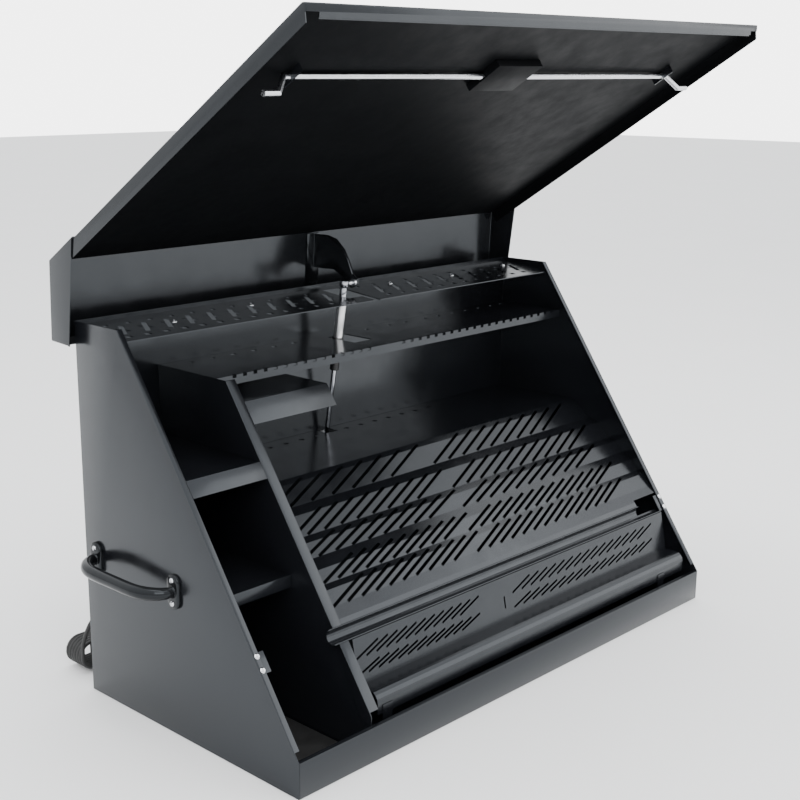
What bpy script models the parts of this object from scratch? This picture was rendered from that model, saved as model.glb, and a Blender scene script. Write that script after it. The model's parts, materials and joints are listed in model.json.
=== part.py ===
"""Slant-front tool chest with its lid raised.

X is to the right, Y to the back and Z up, and the origin is on the floor.

Every size is in millimetres until a mesh is made.
The lid and what rides on it are drawn as if shut, then turned up.
"""

import math

import bmesh
import bpy
from mathutils import Matrix, Vector

MM = 0.001

# Cabinet
HALF_WIDTH = 457.0
REAR = 216.0
HEIGHT = 535.0
SHEET = 1.5
INSIDE_X = 455.2
REAR_FACE = 214.2
SLANT_TOP = Vector((121.6, 535.0))
SLANT_FOOT = Vector((-216.0, 48.4))
SLANT_UP = (SLANT_TOP - SLANT_FOOT).normalized()
SLANT_IN = Vector((SLANT_UP.y, -SLANT_UP.x))

# Lid, measured shut
HINGE = Vector((221.0, 499.0))
OPEN_DEGREES = 87.5
LID_TOP = Vector((108.6, 535.0))
LID_DOWN = Vector((-0.5732, -0.8194))
LID_HALF_WIDTH = 465.2
LATCH_DOWN = 455.0
LATCH_DEPTH = 7.0

# Gas strut
STRUT_X = -2.0
STRUT_FOOT = Vector((205.0, 282.0))
STRUT_LENGTH = 262.4
STRUT_TILT = 9.21
STRUT_ARM = [
    (113, 535.9), (111.5, 507.8), (115.4, 487.6), (128.6, 470.0), (145.2, 458.3), (164.7, 448.4), (171, 438),
    (180, 438), (186.8, 450.4), (177, 461), (170.7, 470.2), (162.8, 490.1),
    (165, 512), (165.7, 535.9),
]

# Side handle, as (out from the wall, along it)
BOW = [
    (2, 16), (7, 16.2), (14, 18.5), (21.5, 23.5), (28, 31), (33, 40), (36.2, 51), (37.6, 64), (38, 80),
    (38, 102), (38, 124), (37.6, 140), (36.2, 153), (33, 164), (28, 173), (21.5, 180.5), (14, 185.5),
    (7, 187.8), (2, 188),
]

# Cord
CORD_X = -425.0
CORD_Z = 100.0
CORD_RADIUS = 3.0
CORD_ROUTE = [
    (-425, 212.4, 100), (-425, 218, 100), (-425, 224, 100), (-425, 230, 99.8), (-425.3, 236, 98.8),
    (-426.2, 241.5, 96.4), (-427.6, 246.5, 92.4), (-429.4, 250.8, 87), (-431.4, 254.5, 80.4), (-433.4,
                                                                                               257.6, 73),
    (-435.3, 260.2, 65.2), (-437, 262.3, 57.4), (-438.4, 263.9, 50), (-439.4, 264.9, 43.5),
]
TAIL_ROUTE = [
    (-345, 304.9, 6), (-340, 304.8, 6), (-335, 304, 6.4), (-330, 302.6, 7.6), (-326, 301.2, 9.4),
    (-322, 300.3, 11.6), (-317, 300, 13),
]
HANK_MIDDLE = (-391.0, 25.0)
HANK_HALF_LENGTH = 52.0
HANK_HALF_HEIGHT = 22.0
HANK_FRONT = 262.0
HANK_REAR = 308.2

DIVIDER_X = -321.5
TROUGH_DOWN = 466.8

ALONG_X = Matrix(((0, 0, 1, 0), (1, 0, 0, 0), (0, 1, 0, 0), (0, 0, 0, 1)))
ALONG_Y = Matrix(((1, 0, 0, 0), (0, 0, -1, 0), (0, 1, 0, 0), (0, 0, 0, 1)))
ALONG_Z = Matrix.Identity(4)


def plane_axes(origin, up):
    """Local X stays X, local Y runs up the slope and local Z points out of it."""
    return Matrix((
        (1, 0, 0, 0),
        (0, up.x, -up.y, origin.x),
        (0, up.y, up.x, origin.y),
        (0, 0, 0, 1),
    ))


def on_slant(down, depth=0.0):
    """The (y, z) point that lies down the slant from its top edge, and depth inside it."""
    return SLANT_TOP - SLANT_UP * down + SLANT_IN * depth


SLANT_AXES = plane_axes(on_slant(TROUGH_DOWN - 4), SLANT_UP)
SLANT_AXES_MIDDLE = plane_axes(on_slant(TROUGH_DOWN), SLANT_UP)
LID_AXES = plane_axes(LID_TOP + LID_DOWN * LATCH_DOWN, -LID_DOWN)

for stale in list(bpy.data.objects):
    bpy.data.objects.remove(stale, do_unlink=True)

chest = bpy.data.collections.new("tool_chest")
tools = bpy.data.collections.new("tool_chest_cutters")
for group in (chest, tools):
    bpy.context.scene.collection.children.link(group)
tools.hide_render = True


def paint(name, colour, roughness, metallic):
    made = bpy.data.materials.new(name)
    made.use_nodes = True
    shader = made.node_tree.nodes["Principled BSDF"]
    shader.inputs["Base Color"].default_value = (*colour, 1)
    shader.inputs["Roughness"].default_value = roughness
    shader.inputs["Metallic"].default_value = metallic
    return made


POWDER = paint("powder_coat", (0.012, 0.013, 0.015), 0.32, 0.0)
GLOSS = paint("gloss_enamel", (0.008, 0.008, 0.010), 0.15, 0.0)
STEEL = paint("bright_steel", (0.62, 0.63, 0.65), 0.30, 1.0)
CHROME = paint("dark_chrome", (0.35, 0.36, 0.38), 0.12, 1.0)
SILVER = paint("silver_tube", (0.72, 0.73, 0.74), 0.35, 0.8)
PLASTIC = paint("black_plastic", (0.015, 0.015, 0.016), 0.45, 0.0)
RUBBER = paint("rubber", (0.02, 0.02, 0.02), 0.75, 0.0)
BRASS = paint("brass", (0.75, 0.58, 0.25), 0.30, 1.0)


# Meshes

def to_mesh(curve, axes):
    """A curve's closed or open surface as a mesh with its doubled points merged."""
    holder = bpy.data.objects.new(curve.name, curve)
    chest.objects.link(holder)
    mesh = bpy.data.meshes.new_from_object(holder)
    bpy.data.objects.remove(holder)
    mesh.transform(axes)
    work = bmesh.new()
    work.from_mesh(mesh)
    bmesh.ops.remove_doubles(work, verts=work.verts, dist=0.001)
    bmesh.ops.recalc_face_normals(work, faces=work.faces)
    work.to_mesh(mesh)
    work.free()
    return mesh


def prism(loops, low, high, axes=ALONG_X):
    """A flat outline, with any holes as further loops, drawn out along local Z from low to high."""
    curve = bpy.data.curves.new("outline", "CURVE")
    curve.dimensions = "2D"
    curve.fill_mode = "BOTH"
    curve.extrude = abs(high - low) / 2
    for loop in loops:
        spline = curve.splines.new("POLY")
        spline.points.add(len(loop) - 1)
        for point, place in zip(spline.points, loop):
            point.co = (place[0], place[1], 0, 1)
        spline.use_cyclic_u = True
    return to_mesh(curve, axes @ Matrix.Translation((0, 0, (low + high) / 2)))


def ribbon(profile, low, high, axes=ALONG_X):
    """An open profile drawn out along local Z: the surface that Solidify makes a folded sheet of."""
    curve = bpy.data.curves.new("profile", "CURVE")
    curve.dimensions = "2D"
    curve.fill_mode = "BOTH"
    curve.extrude = abs(high - low) / 2
    spline = curve.splines.new("POLY")
    spline.points.add(len(profile) - 1)
    for point, place in zip(spline.points, profile):
        point.co = (place[0], place[1], 0, 1)
    return to_mesh(curve, axes @ Matrix.Translation((0, 0, (low + high) / 2)))


def pipe(route, radii, sides=2, axes=ALONG_Z):
    """A round bar along a route, with a radius for each of its points."""
    curve = bpy.data.curves.new("route", "CURVE")
    curve.dimensions = "3D"
    curve.bevel_depth = 1
    curve.bevel_resolution = sides
    curve.use_fill_caps = True
    spline = curve.splines.new("POLY")
    spline.points.add(len(route) - 1)
    for point, place, radius in zip(spline.points, route, radii):
        point.co = (*place, 1)
        point.radius = radius
    return to_mesh(curve, axes)


def box(low, high, axes=ALONG_Z):
    """A block between two corners."""
    return blocks([(low, high)], axes)


def blocks(corners, axes=ALONG_Z):
    """Several separate blocks in one mesh."""
    work = bmesh.new()
    for low, high in corners:
        low, high = Vector(low), Vector(high)
        place = Matrix.Translation((low + high) / 2) @ Matrix.Diagonal((*(high - low), 1))
        bmesh.ops.create_cube(work, size=1, matrix=axes @ place)
    return finished(work)


def bars(lines, width, low, high, axes=ALONG_Z):
    """Straight bars from point to point in the local XY plane, in one mesh."""
    work = bmesh.new()
    for start, end in lines:
        start, end = Vector(start), Vector(end)
        along = end - start
        turn = Matrix.Rotation(math.atan2(along.y, along.x), 4, "Z")
        middle = (start + end) / 2
        place = Matrix.Translation((middle.x, middle.y, (low + high) / 2))
        size = Matrix.Diagonal((along.length, width, high - low, 1))
        bmesh.ops.create_cube(work, size=1, matrix=axes @ place @ turn @ size)
    return finished(work)


def rounds(centres, radius, low, high, axes=ALONG_Z, sides=8):
    """Round bars along local Z, in one mesh."""
    work = bmesh.new()
    for across, up in centres:
        place = Matrix.Translation((across, up, (low + high) / 2))
        bmesh.ops.create_cone(work, cap_ends=True, segments=sides, radius1=radius, radius2=radius,
                              depth=high - low, matrix=axes @ place)
    return finished(work)


def turned(profile, axes, sides=12):
    """A solid of revolution about local Z, from (radius, height) points that begin and end on the axis."""
    work = bmesh.new()
    ring = [work.verts.new((radius, 0, height)) for radius, height in profile]
    for first, second in zip(ring, ring[1:]):
        work.edges.new((first, second))
    bmesh.ops.spin(work, geom=work.verts[:] + work.edges[:], axis=(0, 0, 1), cent=(0, 0, 0),
                   angle=math.tau, steps=sides)
    bmesh.ops.transform(work, matrix=axes, verts=work.verts)
    return finished(work)


def finished(work):
    bmesh.ops.remove_doubles(work, verts=work.verts, dist=0.001)
    bmesh.ops.recalc_face_normals(work, faces=work.faces)
    mesh = bpy.data.meshes.new("mesh")
    work.to_mesh(mesh)
    work.free()
    return mesh


def arc(centre, radius, start, end, steps):
    """Points on an arc, in degrees."""
    turn = [math.radians(start + (end - start) * step / steps) for step in range(steps + 1)]
    return [(centre[0] + radius * math.cos(t), centre[1] + radius * math.sin(t)) for t in turn]


def circle(centre, radius, sides=12):
    return arc(centre, radius, 0, 360 * (sides - 1) / sides, sides - 1)


def stadium(centre, half_across, half_up, steps=6):
    """An upright oval with round ends."""
    rise = half_up - half_across
    over = arc((centre[0], centre[1] + rise), half_across, 0, 180, steps)
    under = arc((centre[0], centre[1] - rise), half_across, 180, 360, steps)
    return over + under


def level_oval(centre, half_across, half_up, steps=8):
    """A level oval with round ends."""
    reach = half_across - half_up
    right = arc((centre[0] + reach, centre[1]), half_up, -90, 90, steps)
    left = arc((centre[0] - reach, centre[1]), half_up, 90, 270, steps)
    return right + left


# Objects

def pivot(name, place, parent=None, degrees=0.0):
    """An empty on a joint's axis, at (x, y, z) in millimetres with the lid shut and the strut upright."""
    empty = bpy.data.objects.new(name, None)
    empty.empty_display_size = 0.02
    empty.location = Vector(place) * MM
    empty.rotation_euler.x = math.radians(degrees)
    chest.objects.link(empty)
    hang(empty, parent)
    return empty


def hang(obj, parent):
    if parent is not None:
        obj.parent = parent
        obj.matrix_parent_inverse = Matrix.Translation(-parent.location)


def solid(name, mesh, material, parent=None, smooth=False):
    mesh.transform(Matrix.Scale(MM, 4))
    mesh.name = name
    mesh.materials.clear()
    mesh.materials.append(material)
    obj = bpy.data.objects.new(name, mesh)
    chest.objects.link(obj)
    hang(obj, parent)
    if smooth:
        mesh.shade_smooth()
    return obj


def tool(obj, mesh, operation):
    mesh.transform(Matrix.Scale(MM, 4))
    name = f"{obj.name}_{operation.lower()}_{len(obj.modifiers)}"
    mesh.name = name
    operand = bpy.data.objects.new(name, mesh)
    operand.hide_render = True
    operand.display_type = "WIRE"
    tools.objects.link(operand)
    hang(operand, obj.parent)
    step = obj.modifiers.new(name, "BOOLEAN")
    step.operation = operation
    step.solver = "EXACT"
    step.object = operand


def cut(obj, *meshes):
    for mesh in meshes:
        tool(obj, mesh, "DIFFERENCE")


def join(obj, *meshes):
    for mesh in meshes:
        tool(obj, mesh, "UNION")


def folded(name, profile, low, high, material, thickness=SHEET, side=1, parent=None, axes=ALONG_X):
    """A folded sheet. side says on which side of the profile the metal lies."""
    obj = solid(name, ribbon(profile, low, high, axes), material, parent)
    # The ribbon's own normals decide which way the metal grows, so they are set first.
    work = bmesh.new()
    work.from_mesh(obj.data)
    work.faces.ensure_lookup_table()
    start, end = Vector(profile[0]), Vector(profile[1])
    left = axes.to_3x3() @ Vector((start.y - end.y, end.x - start.x, 0))
    middle = axes @ Vector((*((start + end) / 2), (low + high) / 2))
    first = min(work.faces, key=lambda f: (f.calc_center_median() / MM - middle).length)
    if first.normal.dot(left) * side < 0:
        bmesh.ops.reverse_faces(work, faces=work.faces)
    work.to_mesh(obj.data)
    work.free()
    thick = obj.modifiers.new("sheet", "SOLIDIFY")
    thick.thickness = thickness * MM
    thick.offset = 1
    thick.use_even_offset = True
    return obj


# Cabinet

def flanged_wall(name, wall, flange, outline, top, foot_y, material):
    """An upright sheet between the two X in wall, with a narrow flange along the slant as far as X flange."""
    low, high = sorted((flange, wall[1]))
    obj = solid(name, prism([outline], low, high), material)
    step = on_slant(0, SHEET)
    up_top = step + SLANT_UP * ((top + 8 - step.y) / SLANT_UP.y)
    foot = step - SLANT_UP * ((step.x - foot_y) / SLANT_UP.x)
    away = foot - SLANT_IN * 6
    hollow = [(-240, -8), (240, -8), (240, top + 8), tuple(up_top), tuple(foot), tuple(away), (-240, away.y)]
    low, high = sorted((flange - math.copysign(5, wall[1] - flange), wall[0]))
    cut(obj, prism([hollow], low, high))
    return obj


SIDE_OUTLINE = [(REAR, 0), (REAR, HEIGHT), tuple(SLANT_TOP), tuple(SLANT_FOOT), (-REAR, 0)]


def cabinet():
    for side, sign in (("left", -1), ("right", 1)):
        flanged_wall(f"side_panel_{side}", (sign * 455.5, sign * HALF_WIDTH), sign * 448, SIDE_OUTLINE,
                     HEIGHT, -207, POWDER)
    back = solid("back_panel", box((-INSIDE_X, REAR - SHEET, 0), (INSIDE_X, REAR, HEIGHT)), POWDER)
    cut(back, rounds([(CORD_X, CORD_Z)], 8, -REAR - 5, -REAR + 5, ALONG_Y, 12))
    folded("floor_pan", [(REAR_FACE, 0), (-REAR, 0), (-REAR, 48.4), (-209, 48.4)],
           -INSIDE_X, INSIDE_X, POWDER, side=-1)


def divider():
    top = 455.0
    top_y = on_slant((HEIGHT - top) / SLANT_UP.y).x
    front = -208.4
    front_z = on_slant((SLANT_TOP.x - front) / SLANT_UP.x).y
    outline = [(REAR_FACE, 1.8), (REAR_FACE, top), (top_y, top), (front, front_z), (front, 1.8)]
    obj = flanged_wall("divider", (DIVIDER_X, DIVIDER_X - SHEET), -306.5, outline, top, -204, POWDER)
    cut(obj, rounds([tuple(on_slant(TROUGH_DOWN))], 11.3, -330, -300, ALONG_X, 16))


# Racks

def top_rack():
    obj = folded("top_rack", [(REAR_FACE, 529), (114, 519.5)], -INSIDE_X, INSIDE_X, POWDER, side=1)
    clear = [x for x in range(-425, 430, 37) if not -26 < x < 42]
    cut(obj, rounds([(x, 192) for x in clear], 4.6, 500, 540))
    ovals = [x for x in range(-430, 440, 31) if not -24 < x < 40]
    strokes = [x for x in range(-427, 420, 38) if not -34 < x < 36]
    lines = [((x - 5, 132), (x + 5, 132)) for x in ovals]
    lines += [((x, 144), (x + 20, 182)) for x in strokes]
    cut(obj, bars(lines, 8, 500, 540))
    cut(obj, bars([((x + 17, 155), (x + 2, 171)) for x in strokes], 5, 500, 540))
    cut(obj, prism([[(17, 105), (28, 105), (28, 200), (-12, 200), (-12, 142), (17, 142)]], 500, 545, ALONG_Z))


def middle_shelf():
    obj = folded("middle_shelf", [(REAR_FACE, 455), (86.5, 455), (86.5, 442)], DIVIDER_X + 0.3, INSIDE_X,
                 POWDER, side=1)
    small = [x for x in range(-290, 450, 19) if not -20 < x < 34]
    cut(obj, blocks([((x - 3.5, 80, 451), (x + 3.5, 92, 460)) for x in small]))
    slots = (-280, -240, -200, -160, -120, -80)
    cut(obj, bars([((x - 5, 194), (x + 5, 194)) for x in slots], 6, 440, 470))
    holes = (80, 133, 173, 220, 255, 294, 329, 364, 398, 426)
    cut(obj, rounds([(x, 194) for x in holes], 4.5, 440, 470))
    cut(obj, box((-12, 130, 440), (28, 189, 470)))


WRENCH_PROFILE = [
    (REAR_FACE - 0.3, 300), (52, 300), (41.8, 295.4), (14, 272.4), (-4.6, 266.8), (-28, 244.4), (-41, 240.3),
    (-57.6, 223.9), (-77.9, 215.3), (-92.5, 199.7), (-103.5, 196.3), (-119.5, 179.1), (-133.1, 166.4),
    tuple(on_slant(455.4, 0.5)),
]

# Each row of slots: lower end and upper end down the rack, run along X, then first X, pitch and count on the
# left and on the right of the middle.
WRENCH_ROWS = [
    (45, 5, 92, (-295, 41, 7), (47, 34.5, 9)),
    (96, 62, 82, (-293, 32, 9), (43, 33, 10)),
    (133, 102, 85, (-301, 32, 9), (32, 32, 10)),
    (174, 146, 75, (-293, 27, 10), (6, 27, 13)),
    (210, 180, 78, (-303, 27, 10), (-8, 27, 13)),
]


def wrench_rack():
    obj = folded("wrench_rack", WRENCH_PROFILE, DIVIDER_X + 0.3, INSIDE_X, POWDER, thickness=1.2, side=1)
    axes = plane_axes(Vector((52, 300)), Vector((0.821, 0.570)))
    lines = []
    for lower, upper, run, left, right in WRENCH_ROWS:
        for first, pitch, count in (left, right):
            for step in range(count):
                x = first + pitch * step
                if x + run < 447:
                    lines.append(((x, -lower), (x + run, -upper)))
    cut(obj, bars(lines, 4.5, -16, 16, axes))
    holes = [x for x in range(-300, 450, 33) if not -24 < x < 20]
    cut(obj, rounds([(x, 190) for x in holes], 4.5, 290, 310))
    reliefs = [((-330, -160, 140), (-306, -100, 176)), ((384, -160, 140), (460, -100, 169))]
    cut(obj, blocks(reliefs), box((-14, 189, 280), (10, 212, 320)))


def lower_rack():
    profile = [tuple(on_slant(478.8)), (-164, 80), (-186, 80), (-189.5, 79.2), (-193.6, 76.2), (-196.8, 71.5),
               (-198, 66), (-198, 50)]
    obj = folded("lower_rack", profile, -300, 438, POWDER, thickness=1.2, side=1)
    top, foot = Vector(profile[0]), Vector(profile[1])
    axes = plane_axes(top, (top - foot).normalized())
    lines = []
    for first, pitch, count in ((-298, 19, 12), (30, 22, 16)):
        for step in range(count):
            x = first + pitch * step
            lines.append(((x, -28), (x + 44, -12)))
            lines.append(((x, -50), (x + 42, -37)))
    cut(obj, bars(lines, 3.2, -5, 5, axes), bars([((10, -46), (10, -28))], 3, -5, 5, axes))
    for low, high in ((-291, -273), (362, 380)):
        join(obj, box((low, -199.2, 1.8), (high, -197.4, 62)))


def screwdriver_trough():
    centre = on_slant(TROUGH_DOWN)
    tilt = math.degrees(math.atan2(SLANT_UP.y, SLANT_UP.x))
    profile = arc(centre, 10.8, tilt - 180, tilt, 10)
    obj = folded("screwdriver_trough", profile, -331, 437.5, POWDER, thickness=1.2, side=1)
    cut(obj, box((386, -2.7, -20), (445, 20, 20), SLANT_AXES_MIDDLE))


def left_compartment():
    shelf = folded("divider_shelf", [(REAR_FACE, 427), (48.9, 427), tuple(on_slant(165, 1.8))],
                   DIVIDER_X + 0.3, -150,
                   POWDER, side=1)
    cut(shelf, box((-330, 20, 395), (-306, 56, 440)))
    slope = [(REAR_FACE, 357), (on_slant((HEIGHT - 357) / SLANT_UP.y).x, 357), tuple(on_slant(241.6))]
    folded("side_shelf_upper", slope, -447.5, DIVIDER_X - 1.8, POWDER, side=1)
    folded("side_shelf_lower", [(REAR_FACE, 213), (-60, 213), (-60, 195)], -INSIDE_X, DIVIDER_X - 1.8,
           POWDER, side=1)
    solid("compartment_mat", box((-452, -206, 1.8), (-325.5, 210, 4.3)), RUBBER)
    strip = solid("power_strip", box((-447, 176, 72), (-331, 211.5, 112)), PLASTIC)
    cut(strip, box((-365, 170, 82), (-345, 186, 102)))
    rocker = pivot("switch_axis", (-355, 182, 92))
    outline = [(173, 84), (184, 84), (184, 100), (173, 100), (176, 92)]
    solid("power_switch", prism([outline], -364, -346), PLASTIC, rocker)


# Catches for the two bolts, riveted under the slant flanges

def catches():
    for side, sign in (("left", -1), ("right", 1)):
        # Profile in local X and Z, drawn out up the slope.
        axes = SLANT_AXES @ Matrix(((1, 0, 0, 0), (0, 0, -1, 0), (0, 1, 0, 0), (0, 0, 0, 1)))
        profile = [(sign * 438.5, -1.8), (sign * INSIDE_X, -1.8), (sign * INSIDE_X, -26)]
        folded(f"catch_{side}", profile, -14, 14, POWDER, side=-sign, axes=axes)
        for level, down in (("upper", 453.5), ("lower", 472)):
            place = on_slant(down)
            head = plane_axes(place, SLANT_UP) @ Matrix.Translation((sign * 452, 0, 0.3))
            dome = [(0, 0), (4, 0), (4, 0.6), (2.6, 1.7), (0, 2.1)]
            solid(f"catch_rivet_{side}_{level}", turned(dome, head), STEEL, smooth=True)


# Hinge

def hinge_leaves(lid):
    ring = 3.2
    body_plate = [(216.3, 468), (218.3, 468)]
    body_ring = arc(HINGE, ring, -147.5, 180, 10)
    outline = body_plate + body_ring + [(216.3, 499)]
    body = solid("hinge_leaf_body", prism([outline, circle(HINGE, 1.8, 8)], -440, 440), STEEL)
    lid_ring = arc(HINGE, ring, 93.6, -237.6, 10)
    outline = [(219.3, 533), (220.8, 533)] + lid_ring
    leaf = solid("hinge_leaf_lid", prism([outline, circle(HINGE, 1.8, 8)], -440, 440), STEEL, lid)
    span = 880 / 9
    for step in range(9):
        low, high = -440 + span * step, -440 + span * (step + 1)
        if step % 2:
            cut(body, box((low - 0.2, 210, 495.4), (high + 0.2, 230, 505)))
        else:
            # The two end knuckles are cut past the leaf's ends.
            low = low - 5 if step == 0 else low
            high = high + 5 if step == 8 else high
            cut(leaf, box((low - 0.2, 215, 490), (high + 0.2, 230, 502.7)))
    solid("hinge_pin", prism([circle(HINGE, 1.5, 8)], -441, 441), STEEL)


# Lid

def lid_panel(lid):
    outline = [tuple(LID_TOP), (-225.7, 57.1), (-225.7, 50), (-205, 50), (125.8, 523)]
    obj = solid("lid_panel", prism([outline], -LID_HALF_WIDTH, LID_HALF_WIDTH), GLOSS, lid)
    hollow = [
        (-224.2, 51.5), (-211, 51.5), (-211, 40), (200, 40), (200, 550.5), (121.3, 550.5), (-224.2, 56.6),
    ]
    cut(obj, prism([hollow], -463.7, 463.7))
    reliefs = [((446, -216.5, 45), (470, -210, 53)), ((-470, -216.5, 45), (-446, -210, 53))]
    cut(obj, blocks(reliefs), rounds([(0, 0)], 7, -10, 10, LID_AXES, 16))
    solid("lid_front_seal", box((-445, -214, 51.8), (445, -209.2, 53)), GLOSS, lid)


def lid_hood(lid):
    outline = [(219, 538), (108.3, 538), (69.9, 483.1), (72.5, 482.8), (219, 494.5)]
    obj = solid("lid_hood", prism([outline], -467, 467), GLOSS, lid)
    hollow = [(217.5, 536.5), (109.08, 536.5), (58, 463.6), (240, 463.6), (240, 504), (217.5, 504)]
    cut(obj, prism([hollow], -465.5, 465.5))


def strut_arm(lid):
    obj = solid("strut_arm", prism([STRUT_ARM], 20, 25), GLOSS, lid)
    join(obj, box((5, 111.5, 534.5), (31, 196, 536.2)))
    stud = Matrix.Translation((0, 176.5, 442.9)) @ Matrix.Rotation(math.radians(90), 4, "Y")
    bolt = [(0, 6), (3.4, 6), (4.6, 7.5), (4.6, 11), (3, 12.5), (3, 16), (6, 16.2), (6, 19.6), (0, 19.6)]
    solid("strut_ball_stud", turned(bolt, stud), STEEL, lid, smooth=True)


# Strut, drawn upright over its foot

def strut():
    foot = pivot("strut_axis", (STRUT_X, *STRUT_FOOT), degrees=STRUT_TILT)
    up = Matrix.Translation((STRUT_X, *STRUT_FOOT))
    eye = [circle((0, 0), 6, 12), circle((0, 0), 2.9, 10)]
    rod = solid("strut_rod", prism(eye, -3.6, 3.6, up @ ALONG_X), CHROME, foot, smooth=False)
    join(rod, turned([(0, 4.4), (4, 4.4), (4, 127), (3.4, 128), (0, 128)], up))
    tube_foot = STRUT_LENGTH - 140
    neck = STRUT_LENGTH - 30
    ball = STRUT_LENGTH
    outside = [(4.35, tube_foot), (7.25, tube_foot), (7.25, neck), (5.5, neck + 1), (5.5, ball - 5.5),
               (7, ball - 3), (7, ball + 3), (4, ball + 6.5), (0, ball + 7)]
    inside = [(0, neck - 3), (4.35, neck - 3), (4.35, tube_foot)]
    solid("strut_tube", turned(inside + outside[1:], up), SILVER, foot, smooth=False)
    collar = prism([circle((0, 0), 8.9, 14), circle((0, 0), 7.6, 14)], ball - 103, ball - 86, up)
    solid("strut_collar", collar, PLASTIC, foot)
    base = solid("strut_base", box((-16, 212.6, 262), (12, 213.9, 302 - 4)), STEEL)
    ear = [(213.2, 272), (213.2, 292), (207, 289), (199, 286), (198.5, 278), (207, 274)]
    join(base, prism([ear], 2.9, 5), prism([circle(STRUT_FOOT, 2.5, 10)], -7, 4))


# Latch, in a frame with X across, Y up the lid and Z out of it, centred on the handle's shaft

def latch(lid):
    centre = LID_TOP + LID_DOWN * LATCH_DOWN
    turn = pivot("latch_axis", (0, *centre), lid)
    case = solid("latch_box", box((-46, -32, -12.1), (46, 28, -1.8), LID_AXES), GLOSS, lid)
    cut(case, box((-44, -30, -11.3), (44, 26, 1), LID_AXES), box((-50, -4.4, -11.15), (50, 4.4, 1), LID_AXES))
    cam = [arc((0, 6), 7.8, 0, 180, 6) + arc((0, -6), 7.8, 180, 360, 6), circle((0, 0), 6.3, 12)]
    solid("latch_cam", prism(cam, -10.8, -3, LID_AXES), STEEL, turn)
    plate = [circle((0, 0), 22, 20), circle((0, 0), 6.6, 12)]
    solid("escutcheon", prism(plate, 0.3, 2.2, LID_AXES), CHROME, lid)
    grip = solid("latch_handle", turned([(0, -11), (6, -11), (6, 4), (9, 4.5), (9, 14), (0, 14)],
                                        LID_AXES, 14),
                 CHROME, turn, smooth=False)
    bar = arc((34, 0), 7, -90, 90, 6) + arc((-34, 0), 7, 90, 270, 6)
    join(grip, prism([bar], 8, 17, LID_AXES))
    cut(grip, rounds([(0, 0)], 6.1, 9.5, 20, LID_AXES, 14))
    key = pivot("lock_axis", (0, *centre), turn)
    lock = solid("lock_cylinder", turned([(0, 9.8), (5.8, 9.8), (5.8, 16.6), (5.2, 17.2), (0, 17.2)],
                                         LID_AXES, 14),
                 STEEL, key, smooth=False)
    cut(lock, box((-0.6, -3.4, 13), (0.6, 3.4, 20), LID_AXES))
    for side, sign in (("left", -1), ("right", 1)):
        end = pivot(f"rod_axis_{side}", (sign * 200, *centre), lid)
        route = [(sign * 20, 0, -LATCH_DEPTH), (sign * 396, 0, -LATCH_DEPTH), (sign * 414, 0, -28),
                 (sign * 436.5, 0, -28)]
        solid(f"latch_rod_{side}", pipe(route, [3.9, 3.9, 3.9, 3.9], 3, LID_AXES), STEEL, end, smooth=True)
        low, high = sorted((sign * 384, sign * 386))
        guide = solid(f"rod_guide_{side}", box((low, -20, -12.2), (high, 16, -1.8), LID_AXES), POWDER, lid)
        hole = LID_AXES @ ALONG_X
        cut(guide, rounds([(0, -LATCH_DEPTH)], 4.3, low - 5, high + 5, hole, 12))


# Handles

def handles():
    for side, sign in (("left", -1), ("right", 1)):
        wall = HALF_WIDTH + 0.3
        route = [(sign * (wall + out), y, 206) for out, y in BOW]
        radii = [7 + 2.2 * min(1, out / 34) for out, _ in BOW]
        handle = solid(f"handle_{side}", pipe(route, radii, 4), GLOSS, smooth=False)
        low, high = sorted((sign * wall, sign * (wall + 5)))
        for y, level in ((16, "front"), (188, "rear")):
            join(handle, prism([stadium((y, 206), 12, 24)], low, high))
            for rise, end in ((16, "upper"), (-16, "lower")):
                face = Matrix.Translation((sign * (wall + 5.3), y, 206 + rise))
                face = face @ Matrix.Rotation(math.radians(sign * 90), 4, "Y")
                dome = [(0, 0), (3.8, 0), (3.8, 0.8), (2.6, 2), (0, 2.4)]
                solid(f"handle_screw_{side}_{level}_{end}", turned(dome, face, 10), STEEL, smooth=True)


# Cord

def cord():
    gland = Matrix.Translation((CORD_X, REAR, CORD_Z)) @ Matrix.Rotation(math.radians(-90), 4, "X")
    profile = [(3.5, -3), (7.6, -3), (7.6, 0.3), (11, 0.3), (11, 3.5), (6, 5), (5.5, 9), (3.5, 9), (3.5, -3)]
    solid("strain_relief", turned(profile, gland, 14), RUBBER)
    solid("power_cord", pipe(CORD_ROUTE, [CORD_RADIUS] * len(CORD_ROUTE)), RUBBER, smooth=True)
    solid("power_cord_tail", pipe(TAIL_ROUTE, [CORD_RADIUS] * len(TAIL_ROUTE)), RUBBER, smooth=True)
    thick = 2 * CORD_RADIUS
    loops = [level_oval(HANK_MIDDLE, HANK_HALF_LENGTH, HANK_HALF_HEIGHT),
             level_oval(HANK_MIDDLE, HANK_HALF_LENGTH - thick, HANK_HALF_HEIGHT - thick)]
    solid("cord_hank", prism(loops, -HANK_REAR, -HANK_FRONT, ALONG_Y), RUBBER)
    band = [[(259.4, 0.8), (310.8, 0.8), (310.8, 49.2), (259.4, 49.2)],
            [(261, 2.4), (309.2, 2.4), (309.2, 47.6), (261, 47.6)]]
    solid("cord_tie", prism(band, -397, -385), PLASTIC)
    body = [(-316, 295.5), (-306, 293), (-298, 288.5), (-281, 288.5), (-281, 311.5), (-298, 311.5),
            (-306, 307),
            (-316, 304.5)]
    plug = solid("plug", prism([body], 3, 23, ALONG_Z), RUBBER)
    join(plug, blocks([((-284, 293, 10), (-264, 294.5, 16)), ((-284, 305.5, 10), (-264, 307, 16))]))


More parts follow.
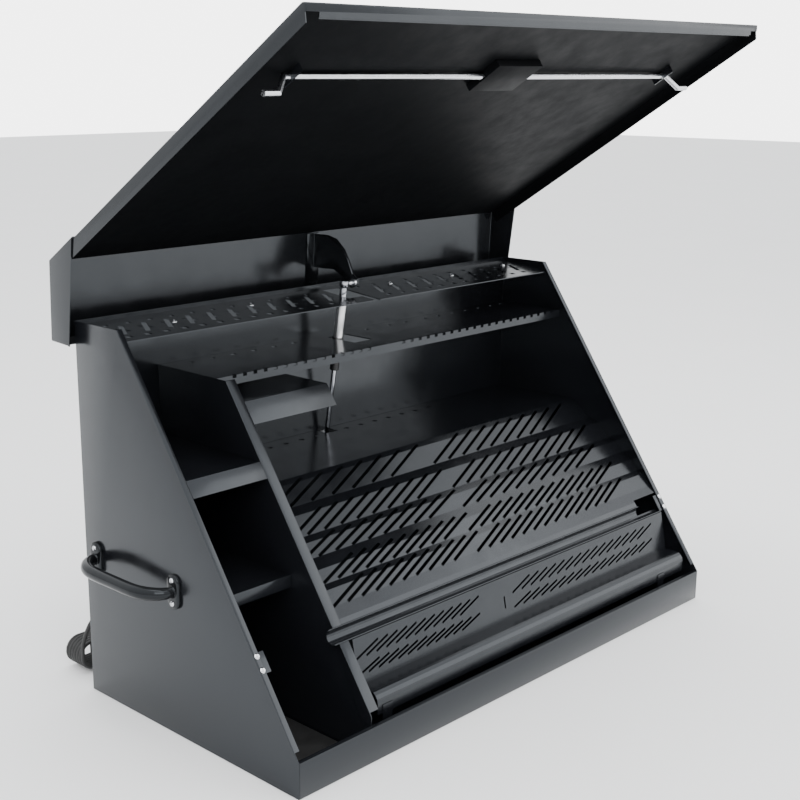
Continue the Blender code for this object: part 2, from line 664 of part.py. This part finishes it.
cabinet()
divider()
top_rack()
middle_shelf()
wrench_rack()
lower_rack()
screwdriver_trough()
left_compartment()
catches()
lid_pivot = pivot("lid_pivot", (0, *HINGE), degrees=-OPEN_DEGREES)
hinge_leaves(lid_pivot)
lid_panel(lid_pivot)
lid_hood(lid_pivot)
strut_arm(lid_pivot)
strut()
latch(lid_pivot)
handles()
cord()
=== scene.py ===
"""Looks of the slant-front tool chest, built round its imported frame. Metres, X right, Y back, Z up."""

import json
import math

import bmesh
import bpy
from mathutils import Matrix, Vector


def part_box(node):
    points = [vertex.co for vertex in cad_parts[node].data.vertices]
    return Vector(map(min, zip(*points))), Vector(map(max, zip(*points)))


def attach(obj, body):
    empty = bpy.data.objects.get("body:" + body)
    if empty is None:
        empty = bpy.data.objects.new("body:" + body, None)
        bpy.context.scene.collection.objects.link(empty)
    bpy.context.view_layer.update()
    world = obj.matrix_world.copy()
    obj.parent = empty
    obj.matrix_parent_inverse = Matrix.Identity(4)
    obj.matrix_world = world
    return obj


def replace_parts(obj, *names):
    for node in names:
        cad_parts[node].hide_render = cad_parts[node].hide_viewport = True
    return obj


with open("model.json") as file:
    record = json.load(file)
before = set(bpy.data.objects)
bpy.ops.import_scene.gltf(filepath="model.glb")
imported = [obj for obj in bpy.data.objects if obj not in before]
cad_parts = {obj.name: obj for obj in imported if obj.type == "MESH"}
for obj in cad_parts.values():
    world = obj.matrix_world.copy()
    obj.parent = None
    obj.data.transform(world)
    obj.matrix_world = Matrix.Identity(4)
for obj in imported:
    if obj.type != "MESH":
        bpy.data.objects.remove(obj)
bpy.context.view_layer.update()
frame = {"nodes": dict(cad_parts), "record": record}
nodes = frame["nodes"]
slots = {entry["node"]: entry["material_slot"] for entry in frame["record"]["subparts"]}

MM = 0.001


# Camera

SENSOR_MM = 36
LENS_MM = 60.03
SHIFT = (0.0569, 0.0294)
CAMERA_PLACE = (-1.4429, -1.2832, 0.8563)
CAMERA_TURN_DEG = (-45.356, 14.757, 0.115)


def camera():
    """A camera at CAMERA_PLACE, turned by azimuth, elevation and roll."""
    data = bpy.data.cameras.new("camera")
    data.sensor_width = SENSOR_MM
    data.lens = LENS_MM
    data.shift_x, data.shift_y = SHIFT
    made = bpy.data.objects.new("camera", data)
    azimuth, elevation, roll = (math.radians(v) for v in CAMERA_TURN_DEG)
    back = Vector((math.sin(azimuth) * math.cos(elevation), -math.cos(azimuth) * math.cos(elevation),
                   math.sin(elevation)))
    right = (-back).cross(Vector((0, 0, 1))).normalized()
    up = right.cross(-back)
    level_right = math.cos(roll) * right + math.sin(roll) * up
    level_up = -math.sin(roll) * right + math.cos(roll) * up
    turn = Matrix((level_right, level_up, back)).transposed()
    made.matrix_world = Matrix.Translation(CAMERA_PLACE) @ turn.to_4x4()
    bpy.context.scene.collection.objects.link(made)
    bpy.context.scene.camera = made


camera()


# Node trees

class Tree:
    """A material with a Principled shader and short calls for its nodes."""

    def __init__(self, name, **sockets):
        self.material = bpy.data.materials.new(name)
        self.material.use_nodes = True
        self.nodes = self.material.node_tree.nodes
        self.links = self.material.node_tree.links
        self.shader = self.nodes["Principled BSDF"]
        self.place = self.nodes.new("ShaderNodeTexCoord").outputs["Object"]
        for socket, value in sockets.items():
            self.shader.inputs[socket.replace("_", " ")].default_value = value

    def noise(self, scale, detail=2.0, roughness=0.5, stretch=None):
        node = self.nodes.new("ShaderNodeTexNoise")
        node.inputs["Scale"].default_value = scale
        node.inputs["Detail"].default_value = detail
        node.inputs["Roughness"].default_value = roughness
        source = self.place
        if stretch:
            mapping = self.nodes.new("ShaderNodeMapping")
            mapping.inputs["Scale"].default_value = stretch
            self.links.new(source, mapping.inputs["Vector"])
            source = mapping.outputs["Vector"]
        self.links.new(source, node.inputs["Vector"])
        return node.outputs["Fac"]

    def spread(self, value, low, high, start=0.3, end=0.7):
        node = self.nodes.new("ShaderNodeMapRange")
        self.links.new(value, node.inputs["Value"])
        node.inputs["From Min"].default_value = start
        node.inputs["From Max"].default_value = end
        node.inputs["To Min"].default_value = low
        node.inputs["To Max"].default_value = high
        return node.outputs["Result"]

    def blend(self, factor, first, second):
        node = self.nodes.new("ShaderNodeMix")
        node.data_type = "RGBA"
        self.links.new(factor, node.inputs["Factor"])
        node.inputs[6].default_value = (*first, 1)
        node.inputs[7].default_value = (*second, 1)
        return node.outputs[2]

    def bump(self, height, distance, strength=1.0, over=None):
        node = self.nodes.new("ShaderNodeBump")
        node.inputs["Distance"].default_value = distance
        node.inputs["Strength"].default_value = strength
        self.links.new(height, node.inputs["Height"])
        if over is not None:
            self.links.new(over, node.inputs["Normal"])
        return node.outputs["Normal"]

    def into(self, socket, value):
        self.links.new(value, self.shader.inputs[socket])


COOL_TINT = (0.86, 0.93, 1.0, 1)


def coated_steel(name, colour, other, low, high, peel, specular):
    """Powder coat or enamel on steel: orange peel about a millimetre across and faint wear in the gloss."""
    tree = Tree(name, Metallic=0.0, Specular_IOR_Level=specular, Specular_Tint=COOL_TINT)
    tree.into("Base Color", tree.blend(tree.noise(9, 3), colour, other))
    tree.into("Roughness", tree.spread(tree.noise(26, 4, 0.6), low, high))
    ripple = tree.bump(tree.noise(420, 2), peel, 0.5)
    tree.into("Normal", tree.bump(tree.noise(2600, 1), peel * 0.25, 0.4, ripple))
    return tree.material


def metal(name, colour, other, low, high, grain=(1, 1, 1), depth=0.00002):
    """Bare or plated metal with a drawn grain."""
    tree = Tree(name, Metallic=1.0)
    tree.into("Base Color", tree.blend(tree.noise(60, 3), colour, other))
    tree.into("Roughness", tree.spread(tree.noise(90, 3, 0.6, grain), low, high))
    tree.into("Normal", tree.bump(tree.noise(900, 2, 0.5, grain), depth, 0.6))
    return tree.material


def moulded(name, colour, other, low, high, depth, scale):
    """Plastic or rubber with a moulded grain."""
    tree = Tree(name, Metallic=0.0)
    tree.into("Base Color", tree.blend(tree.noise(30, 3), colour, other))
    tree.into("Roughness", tree.spread(tree.noise(45, 3), low, high))
    tree.into("Normal", tree.bump(tree.noise(scale, 2), depth, 0.8))
    return tree.material


# The lid's underside and the latch box take the same enamel made darker and almost without reflection:
# painted shade on faces that look down, out of the light.
# handle_gloss is for the side handles: a deeper, wetter black than the sheet metal.
LOOKS = {
    "powder_coat": coated_steel("powder_coat", (0.0045, 0.005, 0.0062), (0.0065, 0.007, 0.0086),
                                0.16, 0.26, 0.00004, 0.5),
    "gloss_enamel": coated_steel("gloss_enamel", (0.004, 0.0044, 0.0052), (0.006, 0.0065, 0.0075),
                                 0.13, 0.22, 0.00003, 0.48),
    "bright_steel": metal("bright_steel", (0.62, 0.63, 0.66), (0.74, 0.75, 0.77), 0.2, 0.34, (0.1, 1, 1)),
    "dark_chrome": metal("dark_chrome", (0.36, 0.37, 0.4), (0.45, 0.46, 0.49), 0.08, 0.16),
    "silver_tube": metal("silver_tube", (0.82, 0.82, 0.83), (0.88, 0.88, 0.89), 0.3, 0.42, (1, 1, 0.1)),
    "black_plastic": moulded("black_plastic", (0.01, 0.01, 0.011), (0.017, 0.017, 0.018),
                             0.38, 0.52, 0.00005, 1500),
    "rubber": moulded("rubber", (0.012, 0.012, 0.012), (0.02, 0.02, 0.02), 0.5, 0.65, 0.00006, 900),
    "painted_shade_enamel": coated_steel("painted_shade_enamel", (0.003, 0.0032, 0.0036), (0.0045, 0.0048, 0.0054),
                                0.42, 0.55, 0.00005, 0.04),
    "handle_gloss": coated_steel("handle_gloss", (0.003, 0.0031, 0.0035), (0.0045, 0.0048, 0.0054),
                                 0.07, 0.13, 0.00003, 0.3),
}

for node, obj in nodes.items():
    obj.data.materials.clear()
    obj.data.materials.append(LOOKS[slots[node]])


# Stage

def studio_world():
    """The camera sees a white backdrop; the object gets a softer light, stronger from above."""
    world = bpy.data.worlds.new("studio")
    world.use_nodes = True
    shaders, links = world.node_tree.nodes, world.node_tree.links
    soft = shaders["Background"]
    height = shaders.new("ShaderNodeSeparateXYZ")
    ramp = shaders.new("ShaderNodeMapRange")
    links.new(shaders.new("ShaderNodeTexCoord").outputs["Generated"], height.inputs["Vector"])
    links.new(height.outputs["Z"], ramp.inputs["Value"])
    for socket, value in (("From Min", 0.0), ("From Max", 0.9), ("To Min", 1.35), ("To Max", 2.1)):
        ramp.inputs[socket].default_value = value
    links.new(ramp.outputs["Result"], soft.inputs["Strength"])
    soft.inputs["Color"].default_value = (0.97, 0.985, 1.0, 1)
    backdrop = shaders.new("ShaderNodeBackground")
    backdrop.inputs["Color"].default_value = (1, 1, 1, 1)
    backdrop.inputs["Strength"].default_value = 5.0
    choose = shaders.new("ShaderNodeMixShader")
    links.new(shaders.new("ShaderNodeLightPath").outputs["Is Camera Ray"], choose.inputs["Fac"])
    links.new(soft.outputs["Background"], choose.inputs[1])
    links.new(backdrop.outputs["Background"], choose.inputs[2])
    links.new(choose.outputs["Shader"], shaders["World Output"].inputs["Surface"])
    return world


def stage():
    bpy.ops.mesh.primitive_plane_add(size=30, location=(0, 0, -0.0005))
    floor = bpy.context.object
    floor.name = "floor"
    tree = Tree("pale_floor", Specular_IOR_Level=0.2)
    tree.into("Base Color", tree.blend(tree.noise(3, 2), (0.93, 0.93, 0.93), (0.96, 0.96, 0.96)))
    tree.into("Roughness", tree.spread(tree.noise(60, 3), 0.6, 0.75))
    tree.into("Normal", tree.bump(tree.noise(300, 2), 0.00005, 0.2))
    floor.data.materials.append(tree.material)
    bpy.context.scene.world = studio_world()
    lights = [("key", (-2.2, -2.6, 2.6), 2.2, 60), ("fill", (2.4, -2.0, 1.6), 2.0, 25),
              ("top", (0.0, -0.4, 3.2), 2.4, 50)]
    for name, place, size, power in lights:
        data = bpy.data.lights.new(name, "AREA")
        data.size = size
        data.energy = power
        lamp = bpy.data.objects.new(name, data)
        aim = Vector((0, 0, 0.35)) - Vector(place)
        lamp.matrix_world = Matrix.Translation(place) @ aim.to_track_quat("-Z", "Y").to_matrix().to_4x4()
        bpy.context.scene.collection.objects.link(lamp)


stage()


# Cord: the lead, the hank and the tail, on one line

CORD_DIAMETER = 0.006
LEAD = [
    (-425, 212.4, 100), (-425, 218, 100), (-425, 224, 100), (-425, 230, 99.8), (-425.3, 236, 98.8),
    (-426.2, 241.5, 96.4), (-427.6, 246.5, 92.4), (-429.4, 250.8, 87), (-431.4, 254.5, 80.4),
    (-433.4, 257.6, 73), (-435.3, 260.2, 65.2), (-437, 262.3, 57.4), (-438.4, 263.9, 50),
    (-439.4, 264.9, 43.5),
]
TAIL = [
    (-345, 304.9, 6), (-340, 304.8, 6), (-335, 304, 6.4), (-330, 302.6, 7.6), (-326, 301.2, 9.4),
    (-322, 300.3, 11.6), (-317, 300, 13),
]


def hank():
    """Oval turns in the XZ plane, each a little behind the one before."""
    middle_x, middle_z = -391.0, 25.0
    reach, bend = 30.0, 19.0
    first_y, last_y = 265.2, 304.9
    turns = 6
    oval = [(-1, math.radians(180 + 90 * step / 8)) for step in range(8)]
    oval += [(side, math.radians(270)) for side in (-1, -0.5, 0, 0.5)]
    oval += [(1, math.radians(-90 + 180 * step / 14)) for step in range(15)]
    oval += [(side, math.radians(90)) for side in (0.5, 0, -0.5)]
    oval += [(-1, math.radians(90 + 90 * step / 8)) for step in range(8)]
    per_turn = len(oval)
    count = turns * per_turn + 12
    points = []
    for step in range(count):
        side, angle = oval[step % per_turn]
        y = first_y + (last_y - first_y) * min(1, step / (count - 6))
        x = middle_x + reach * side + bend * math.cos(angle)
        points.append((x, y, middle_z + bend * math.sin(angle)))
    return points


def cord():
    route = [Vector(p) * MM for p in LEAD + hank() + [(-352, 304.9, 6)] + TAIL]
    data = bpy.data.curves.new("mains_lead", "CURVE")
    data.dimensions = "3D"
    data.bevel_depth = CORD_DIAMETER / 2
    data.bevel_resolution = 4
    data.use_fill_caps = True
    spline = data.splines.new("POLY")
    spline.points.add(len(route) - 1)
    for point, place in zip(spline.points, route):
        point.co = (*place, 1)
    lead = bpy.data.objects.new("mains_lead", data)
    bpy.context.scene.collection.objects.link(lead)
    data.materials.append(LOOKS["rubber"])
    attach(lead, "cabinet")
    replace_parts(lead, "power_cord", "power_cord_tail", "cord_hank")


cord()


# Sheets and pieces that stand for CAD nodes

bodies = frame["record"]["behaviour"]["bodies"]
body_of = {node: body for body, names in bodies.items() for node in names}
joints = {joint["name"]: joint for joint in frame["record"]["behaviour"]["joints"]}
hinge = joints["lid_hinge"]
pivot = Vector(hinge["pos_m"])
RAISED = (Matrix.Translation(pivot) @ Matrix.Rotation(-math.radians(hinge["range_deg"][1]), 4, "X")
          @ Matrix.Translation(-pivot))


EASE = 0.0005


def shown(name, mesh, node, material=None, extra=()):
    """A new piece that stands for a CAD node and rides on its body."""
    obj = bpy.data.objects.new(name, mesh)
    bpy.context.scene.collection.objects.link(obj)
    mesh.materials.clear()
    for look in (material or LOOKS[slots[node]], *extra):
        mesh.materials.append(look)
    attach(obj, body_of[node])
    return obj


def round_edges(obj):
    """Rounds an object's sharp edges and hands back the modifier."""
    bevel = obj.modifiers.new("eased_edges", "BEVEL")
    bevel.width = EASE
    bevel.segments = 2
    bevel.limit_method = "ANGLE"
    bevel.angle_limit = math.radians(30)
    return bevel


def eased(node, look=None):
    """A copy of a CAD node with its coplanar faces joined and its edges rounded."""
    mesh = nodes[node].data.copy()
    work = bmesh.new()
    work.from_mesh(mesh)
    bmesh.ops.remove_doubles(work, verts=work.verts, dist=0.00002)
    bmesh.ops.dissolve_limit(work, angle_limit=math.radians(0.8), verts=work.verts, edges=work.edges)
    work.to_mesh(mesh)
    work.free()
    obj = shown(f"{node}_skin", mesh, node, look)
    round_edges(obj).harden_normals = True
    mesh.shade_smooth()
    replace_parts(obj, node)


LID_SHEET = 1.5
LID_HALF_WIDTH = 465.2
LIP_HALF_WIDTH = 446
HOOD_HALF_WIDTH = 467


def pressed(name, node, loops, radius, inside):
    """A pressed lid sheet: flat faces that share edges, the edges rounded, then thickened inward."""
    work = bmesh.new()
    for loop in loops:
        work.faces.new([work.verts.new(Vector(p) * MM) for p in loop])
    bmesh.ops.remove_doubles(work, verts=work.verts, dist=0.00001)
    bmesh.ops.recalc_face_normals(work, faces=work.faces)
    middle = sum((v.co for v in work.verts), Vector()) / len(work.verts)
    outward = sum(f.normal.dot(f.calc_center_median() - middle) * f.calc_area() for f in work.faces)
    if outward < 0:
        bmesh.ops.reverse_faces(work, faces=work.faces)
    folds = [e for e in work.edges if len(e.link_faces) == 2 and e.calc_face_angle() > math.radians(8)]
    bmesh.ops.bevel(work, geom=folds, offset=radius * MM, segments=4, profile=0.5, affect="EDGES",
                    clamp_overlap=True)
    bmesh.ops.transform(work, matrix=RAISED, verts=work.verts)
    mesh = bpy.data.meshes.new(name)
    work.to_mesh(mesh)
    work.free()
    obj = shown(name, mesh, node, extra=(inside,))
    thick = obj.modifiers.new("sheet", "SOLIDIFY")
    thick.thickness = LID_SHEET * MM
    thick.offset = -1
    thick.use_even_offset = True
    thick.material_offset = 1
    mesh.shade_smooth()
    split = obj.modifiers.new("crisp", "EDGE_SPLIT")
    split.split_angle = math.radians(40)
    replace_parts(obj, node)


def strip(low, high, first, second):
    """A flat face across X between two (y, z) points."""
    return [(low, *first), (high, *first), (high, *second), (low, *second)]


def lid():
    """The lid's panel and its hood, drawn shut in (y, z) and then raised."""
    half, inner = LID_HALF_WIDTH, LIP_HALF_WIDTH
    top, foot, lip, bend = (108.6, 535), (-225.7, 57.1), (-225.7, 50), (-216.5, 50)
    free, end, brow = (-211, 50), (-205, 50), (125.8, 523)
    sides = [[(x, *p) for p in (top, foot, lip, bend, end, brow)] for x in (-half, half)]
    tongue = [
        (-half, *lip), (half, *lip), (half, *bend), (inner, *bend),
        (inner, *free), (-inner, *free), (-inner, *bend), (-half, *bend),
    ]
    loops = [strip(-half, half, top, foot), strip(-half, half, foot, lip), tongue, *sides]
    # The panel's inside takes the darkened enamel: painted shade under the lid.
    pressed("lid_shell", "lid_panel", loops, 1.8, LOOKS["painted_shade_enamel"])
    half = HOOD_HALF_WIDTH
    rear, ridge, crest, eave = (219, 504), (219, 538), (108.3, 538), (69.9, 483.1)
    edge, tail = (72.5, 482.8), (219, 494.5)
    sides = [[(x, *p) for p in (ridge, crest, eave, edge, tail, rear)] for x in (-half, half)]
    runs = (rear, ridge), (ridge, crest), (crest, eave)
    strips = [strip(-half, half, first, second) for first, second in runs]
    pressed("hood_shell", "lid_hood", [*strips, *sides], 2.6, LOOKS["gloss_enamel"])


HANDLE_WALL = 457.3
HANDLE_Z = 206
HANDLE_ENDS = (16, 188)
# The bow as (out from the wall, y).
BOW = [
    (0, 16), (7, 16.2), (14, 18.5), (21.5, 23.5), (28, 31), (33, 40), (36.2, 51), (37.6, 64), (38, 80),
    (38, 102), (38, 124), (37.6, 140), (36.2, 153), (33, 164), (28, 173), (21.5, 180.5), (14, 185.5),
    (7, 187.8), (0, 188),
]


def upright_oval(half_across, half_up, steps=16):
    rise = half_up - half_across
    turns = [math.pi * step / steps for step in range(steps + 1)]
    over = [(half_across * math.cos(t), rise + half_across * math.sin(t)) for t in turns]
    under = [(-half_across * math.cos(t), -rise - half_across * math.sin(t)) for t in turns]
    return over + under


def handles():
    for side, sign in (("left", -1), ("right", 1)):
        data = bpy.data.curves.new(f"bow_{side}", "CURVE")
        data.dimensions = "3D"
        data.bevel_depth = MM
        data.bevel_resolution = 8
        data.resolution_u = 6
        data.use_fill_caps = True
        spline = data.splines.new("BEZIER")
        spline.bezier_points.add(len(BOW) - 1)
        for point, (out, y) in zip(spline.bezier_points, BOW):
            point.co = Vector((sign * (HANDLE_WALL + out), y, HANDLE_Z)) * MM
            point.handle_left_type = point.handle_right_type = "AUTO"
            point.radius = 7 + 2.2 * min(1, out / 34)
        bow = bpy.data.objects.new(f"handle_bow_{side}", data)
        bpy.context.scene.collection.objects.link(bow)
        data.materials.append(LOOKS["handle_gloss"])
        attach(bow, "cabinet")
        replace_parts(bow, f"handle_{side}")
        for y in HANDLE_ENDS:
            foot(f"handle_foot_{side}_{y}", f"handle_{side}", sign, y)


def foot(name, node, sign, y):
    """A cast oval foot with a rounded rim and a swelling where the bow comes out of it."""
    rings = [(0, 0), (0, 3.2), (0.9, 4.5), (2.2, 5.0), (4.4, 5.3), (5.2, 7.0), (5.6, 10)]
    work = bmesh.new()
    loops = []
    for inset, out in rings:
        oval = upright_oval(12 - inset, 24 - inset if inset < 4 else 12 - inset + 1.0)
        x = sign * (HANDLE_WALL + out)
        loops.append([work.verts.new(Vector((x, y + a, HANDLE_Z + b)) * MM) for a, b in oval])
    for first, second in zip(loops, loops[1:]):
        for i in range(len(first)):
            j = (i + 1) % len(first)
            work.faces.new((first[i], first[j], second[j], second[i]))
    work.faces.new(loops[0])
    work.faces.new(loops[-1])
    bmesh.ops.recalc_face_normals(work, faces=work.faces)
    mesh = bpy.data.meshes.new(name)
    work.to_mesh(mesh)
    work.free()
    obj = shown(name, mesh, node, LOOKS["handle_gloss"])
    mesh.shade_smooth()
    split = obj.modifiers.new("crisp", "EDGE_SPLIT")
    split.split_angle = math.radians(50)


def lathe(name, node, profile, place, look, steps=40, split=35):
    """A turned piece round local Z from (radius, height) points in millimetres."""
    work = bmesh.new()
    ring = [work.verts.new((radius * MM, 0, height * MM)) for radius, height in profile]
    for first, second in zip(ring, ring[1:]):
        work.edges.new((first, second))
    bmesh.ops.spin(work, geom=work.verts[:] + work.edges[:], axis=(0, 0, 1), cent=(0, 0, 0), angle=math.tau,
                   steps=steps)
    bmesh.ops.remove_doubles(work, verts=work.verts, dist=0.000002)
    bmesh.ops.transform(work, matrix=place, verts=work.verts)
    bmesh.ops.recalc_face_normals(work, faces=work.faces)
    mesh = bpy.data.meshes.new(name)
    work.to_mesh(mesh)
    work.free()
    obj = shown(name, mesh, node, look)
    mesh.shade_smooth()
    crisp = obj.modifiers.new("crisp", "EDGE_SPLIT")
    crisp.split_angle = math.radians(split)
    return obj


def strut():
    """The strut's tube in two finishes, its dark neck and end fitting, and its collar, along its slide."""
    base = Vector(joints["strut_tilt"]["pos_m"])
    up = Vector(joints["strut_slide"]["axis"])
    place = Matrix.Translation(base) @ up.to_track_quat("Z", "Y").to_matrix().to_4x4()
    barrel = [(7.25, 176), (7.25, 231.2), (6.8, 232), (5.6, 232.2)]
    lathe("strut_barrel", "strut_tube", barrel, place, LOOKS["silver_tube"])
    guide = [(4.4, 122.4), (6.8, 122.4), (7.25, 123), (7.25, 176)]
    lathe("strut_guide", "strut_tube", guide, place, LOOKS["black_plastic"])
    neck = [
        (5.5, 231), (5.5, 254), (5.0, 255.5), (5.0, 257), (6.6, 258.5),
        (7.0, 261), (7.0, 264), (6.2, 267.5), (4.0, 269.2), (0, 269.4),
    ]
    fitting = lathe("strut_neck", "strut_tube", neck, place, LOOKS["dark_chrome"])
    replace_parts(fitting, "strut_tube")
    collar = [(7.6, 159.4), (8.5, 159.4), (8.9, 160), (8.9, 164), (8.5, 164.4), (8.5, 171.4), (8.9, 171.8),
              (8.9, 175.8), (8.5, 176.4), (7.6, 176.4), (7.6, 159.4)]
    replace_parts(lathe("strut_stop", "strut_collar", collar, place, LOOKS["black_plastic"]), "strut_collar")


def screw_head(name, node, place, radius, height, look):
    """A domed head with a round dimple in the middle."""
    dome = [(0, height * 0.55), (radius * 0.22, height * 0.55), (radius * 0.3, height * 0.98),
            (radius * 0.55, height * 0.9),
            (radius * 0.85, height * 0.5), (radius, height * 0.12), (radius, 0), (0, 0)]
    return lathe(name, node, dome, place, look, 24, 50)


RACK_FRONT = (114, 519.5)
RACK_SLOPE = 9.5 / 100.2
RACK_SCREWS = [(-332, 162), (-175, 182), (121, 181.5), (263, 173), (412, 182)]


def fasteners():
    """Heads over the handle screws, and five more on the top rack."""
    for side, sign in (("left", -1), ("right", 1)):
        for end in ("front", "rear"):
            for level in ("upper", "lower"):
                node = f"handle_screw_{side}_{end}_{level}"
                low, high = (Vector(c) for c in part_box(node))
                base = Vector(((low if sign > 0 else high).x, (low.y + high.y) / 2, (low.z + high.z) / 2))
                place = Matrix.Translation(base) @ Matrix.Rotation(math.radians(sign * 90), 4, "Y")
                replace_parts(screw_head(f"{node}_head", node, place, 3.8, 2.4, LOOKS["bright_steel"]), node)
    for number, (x, y) in enumerate(RACK_SCREWS, 1):
        rise = RACK_FRONT[1] + (y - RACK_FRONT[0]) * RACK_SLOPE
        place = Matrix.Translation(Vector((x, y, rise + 0.1)) * MM)
        screw_head(f"rack_screw_{number}", "top_rack", place, 4.2, 2.6, LOOKS["bright_steel"])


lid()
handles()
strut()
fasteners()
for node in ("side_panel_left", "side_panel_right", "floor_pan", "divider", "side_shelf_upper",
             "side_shelf_lower", "divider_shelf", "strut_arm", "power_strip", "power_switch",
             "latch_handle", "catch_left", "catch_right", "compartment_mat"):
    eased(node)
# The latch box takes the darkened enamel: painted shade under the lid.
eased("latch_box", LOOKS["painted_shade_enamel"])
# What is on the cord stays as its CAD nodes, with rounded edges.
for node in ("plug", "cord_tie"):
    round_edges(nodes[node])
